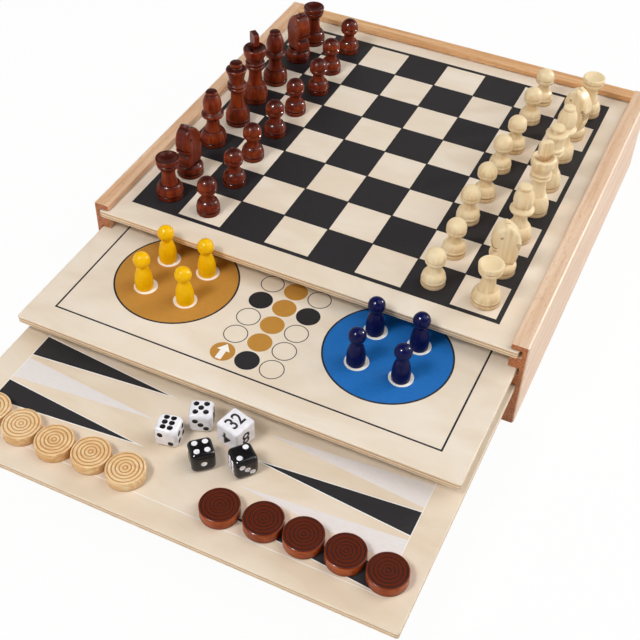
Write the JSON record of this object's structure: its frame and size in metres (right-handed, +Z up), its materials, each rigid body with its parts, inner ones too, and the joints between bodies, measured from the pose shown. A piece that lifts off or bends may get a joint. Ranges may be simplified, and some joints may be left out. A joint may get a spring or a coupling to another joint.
{
  "type": "games compendium box",
  "caption": "Wooden games box with chess, ludo and backgammon boards that slide in grooves one above the other, and their pieces standing on them.",
  "frame": {"origin": "centre of the box's underside", "axes": "+Z up, +X to the right, -Y towards the open front where the boards draw out"},
  "size_m": [0.302, 0.4852, 0.1186],
  "materials": {
    "beech": "sanded, clear satin",
    "birch_ply": "sanded, clear satin",
    "dark_stain": "mahogany stain, gloss lacquer",
    "light_maple": "clear satin lacquer",
    "pale_counter": "clear satin lacquer",
    "dark_counter": "mahogany stain, gloss lacquer",
    "yellow_lacquer": "gloss lacquer",
    "blue_lacquer": "gloss lacquer",
    "white_plastic": "moulded gloss",
    "black_plastic": "moulded gloss"
  },
  "bodies": {
    "frame": {"right_side": "beech", "left_side": "beech", "back_panel": "beech", "front_rail": "beech", "base_panel": "birch_ply", "chess_board": "birch_ply"},
    "ludo_board": {"ludo_board": "birch_ply"},
    "backgammon_board": {"backgammon_board": "birch_ply"},
    "dark_rook_front": {"dark_rook_front": "dark_stain"},
    "dark_knight_front": {"dark_knight_front": "dark_stain"},
    "dark_bishop_front": {"dark_bishop_front": "dark_stain"},
    "dark_queen": {"dark_queen": "dark_stain"},
    "dark_king": {"dark_king": "dark_stain"},
    "dark_bishop_back": {"dark_bishop_back": "dark_stain"},
    "dark_knight_back": {"dark_knight_back": "dark_stain"},
    "dark_rook_back": {"dark_rook_back": "dark_stain"},
    "dark_pawns": {"dark_pawn_1": "dark_stain", "dark_pawn_2": "dark_stain", "dark_pawn_3": "dark_stain", "dark_pawn_4": "dark_stain", "dark_pawn_5": "dark_stain", "dark_pawn_6": "dark_stain", "dark_pawn_7": "dark_stain", "dark_pawn_8": "dark_stain"},
    "light_rook_front": {"light_rook_front": "light_maple"},
    "light_knight_front": {"light_knight_front": "light_maple"},
    "light_bishop_front": {"light_bishop_front": "light_maple"},
    "light_queen": {"light_queen": "light_maple"},
    "light_king": {"light_king": "light_maple"},
    "light_bishop_back": {"light_bishop_back": "light_maple"},
    "light_knight_back": {"light_knight_back": "light_maple"},
    "light_rook_back": {"light_rook_back": "light_maple"},
    "light_pawns": {"light_pawn_1": "light_maple", "light_pawn_2": "light_maple", "light_pawn_3": "light_maple", "light_pawn_4": "light_maple", "light_pawn_5": "light_maple", "light_pawn_6": "light_maple", "light_pawn_7": "light_maple", "light_pawn_8": "light_maple"},
    "yellow_ludo_pawns": {"yellow_ludo_pawn_1": "yellow_lacquer", "yellow_ludo_pawn_2": "yellow_lacquer", "yellow_ludo_pawn_3": "yellow_lacquer", "yellow_ludo_pawn_4": "yellow_lacquer"},
    "blue_ludo_pawns": {"blue_ludo_pawn_1": "blue_lacquer", "blue_ludo_pawn_2": "blue_lacquer", "blue_ludo_pawn_3": "blue_lacquer", "blue_ludo_pawn_4": "blue_lacquer"},
    "light_counters": {"light_counters": "pale_counter"},
    "dark_counters": {"dark_counters": "dark_counter"},
    "white_die_six": {"white_die_six": "white_plastic"},
    "white_die_five": {"white_die_five": "white_plastic"},
    "black_die_four": {"black_die_four": "black_plastic"},
    "black_die_two": {"black_die_two": "black_plastic"},
    "doubling_cube": {"doubling_cube": "white_plastic"}
  },
  "joints": [
    {"name": "ludo_slide", "type": "slide", "parent": "frame", "child": "ludo_board", "axis": [0, 1, 0], "range_m": [0, 0.0948]},
    {"name": "backgammon_slide", "type": "slide", "parent": "frame", "child": "backgammon_board", "axis": [0, 1, 0], "range_m": [0, 0.1842]},
    {"name": "dark_rook_front_lift", "type": "slide", "parent": "frame", "child": "dark_rook_front", "axis": [0, 0, 1], "range_m": [0, 0.08]},
    {"name": "dark_knight_front_lift", "type": "slide", "parent": "frame", "child": "dark_knight_front", "axis": [0, 0, 1], "range_m": [0, 0.08]},
    {"name": "dark_bishop_front_lift", "type": "slide", "parent": "frame", "child": "dark_bishop_front", "axis": [0, 0, 1], "range_m": [0, 0.08]},
    {"name": "dark_queen_lift", "type": "slide", "parent": "frame", "child": "dark_queen", "axis": [0, 0, 1], "range_m": [0, 0.08]},
    {"name": "dark_king_lift", "type": "slide", "parent": "frame", "child": "dark_king", "axis": [0, 0, 1], "range_m": [0, 0.08]},
    {"name": "dark_bishop_back_lift", "type": "slide", "parent": "frame", "child": "dark_bishop_back", "axis": [0, 0, 1], "range_m": [0, 0.08]},
    {"name": "dark_knight_back_lift", "type": "slide", "parent": "frame", "child": "dark_knight_back", "axis": [0, 0, 1], "range_m": [0, 0.08]},
    {"name": "dark_rook_back_lift", "type": "slide", "parent": "frame", "child": "dark_rook_back", "axis": [0, 0, 1], "range_m": [0, 0.08]},
    {"name": "dark_pawns_lift", "type": "slide", "parent": "frame", "child": "dark_pawns", "axis": [0, 0, 1], "range_m": [0, 0.08]},
    {"name": "light_rook_front_lift", "type": "slide", "parent": "frame", "child": "light_rook_front", "axis": [0, 0, 1], "range_m": [0, 0.08]},
    {"name": "light_knight_front_lift", "type": "slide", "parent": "frame", "child": "light_knight_front", "axis": [0, 0, 1], "range_m": [0, 0.08]},
    {"name": "light_bishop_front_lift", "type": "slide", "parent": "frame", "child": "light_bishop_front", "axis": [0, 0, 1], "range_m": [0, 0.08]},
    {"name": "light_queen_lift", "type": "slide", "parent": "frame", "child": "light_queen", "axis": [0, 0, 1], "range_m": [0, 0.08]},
    {"name": "light_king_lift", "type": "slide", "parent": "frame", "child": "light_king", "axis": [0, 0, 1], "range_m": [0, 0.08]},
    {"name": "light_bishop_back_lift", "type": "slide", "parent": "frame", "child": "light_bishop_back", "axis": [0, 0, 1], "range_m": [0, 0.08]},
    {"name": "light_knight_back_lift", "type": "slide", "parent": "frame", "child": "light_knight_back", "axis": [0, 0, 1], "range_m": [0, 0.08]},
    {"name": "light_rook_back_lift", "type": "slide", "parent": "frame", "child": "light_rook_back", "axis": [0, 0, 1], "range_m": [0, 0.08]},
    {"name": "light_pawns_lift", "type": "slide", "parent": "frame", "child": "light_pawns", "axis": [0, 0, 1], "range_m": [0, 0.08]},
    {"name": "yellow_ludo_pawns_lift", "type": "slide", "parent": "frame", "child": "yellow_ludo_pawns", "axis": [0, 0, 1], "range_m": [0, 0.08]},
    {"name": "blue_ludo_pawns_lift", "type": "slide", "parent": "frame", "child": "blue_ludo_pawns", "axis": [0, 0, 1], "range_m": [0, 0.08]},
    {"name": "light_counters_lift", "type": "slide", "parent": "frame", "child": "light_counters", "axis": [0, 0, 1], "range_m": [0, 0.08]},
    {"name": "dark_counters_lift", "type": "slide", "parent": "frame", "child": "dark_counters", "axis": [0, 0, 1], "range_m": [0, 0.08]},
    {"name": "white_die_six_lift", "type": "slide", "parent": "frame", "child": "white_die_six", "axis": [0, 0, 1], "range_m": [0, 0.08]},
    {"name": "white_die_five_lift", "type": "slide", "parent": "frame", "child": "white_die_five", "axis": [0, 0, 1], "range_m": [0, 0.08]},
    {"name": "black_die_four_lift", "type": "slide", "parent": "frame", "child": "black_die_four", "axis": [0, 0, 1], "range_m": [0, 0.08]},
    {"name": "black_die_two_lift", "type": "slide", "parent": "frame", "child": "black_die_two", "axis": [0, 0, 1], "range_m": [0, 0.08]},
    {"name": "doubling_cube_lift", "type": "slide", "parent": "frame", "child": "doubling_cube", "axis": [0, 0, 1], "range_m": [0, 0.08]}
  ],
  "couplings": [
    {"joint": "yellow_ludo_pawns_lift", "follows": "ludo_slide", "ratio": 0.8},
    {"joint": "blue_ludo_pawns_lift", "follows": "ludo_slide", "ratio": 0.8},
    {"joint": "light_counters_lift", "follows": "backgammon_slide", "ratio": 0.4},
    {"joint": "dark_counters_lift", "follows": "backgammon_slide", "ratio": 0.4},
    {"joint": "white_die_six_lift", "follows": "backgammon_slide", "ratio": 0.4},
    {"joint": "white_die_five_lift", "follows": "backgammon_slide", "ratio": 0.4},
    {"joint": "black_die_four_lift", "follows": "backgammon_slide", "ratio": 0.4},
    {"joint": "black_die_two_lift", "follows": "backgammon_slide", "ratio": 0.4},
    {"joint": "doubling_cube_lift", "follows": "backgammon_slide", "ratio": 0.4}
  ]
}
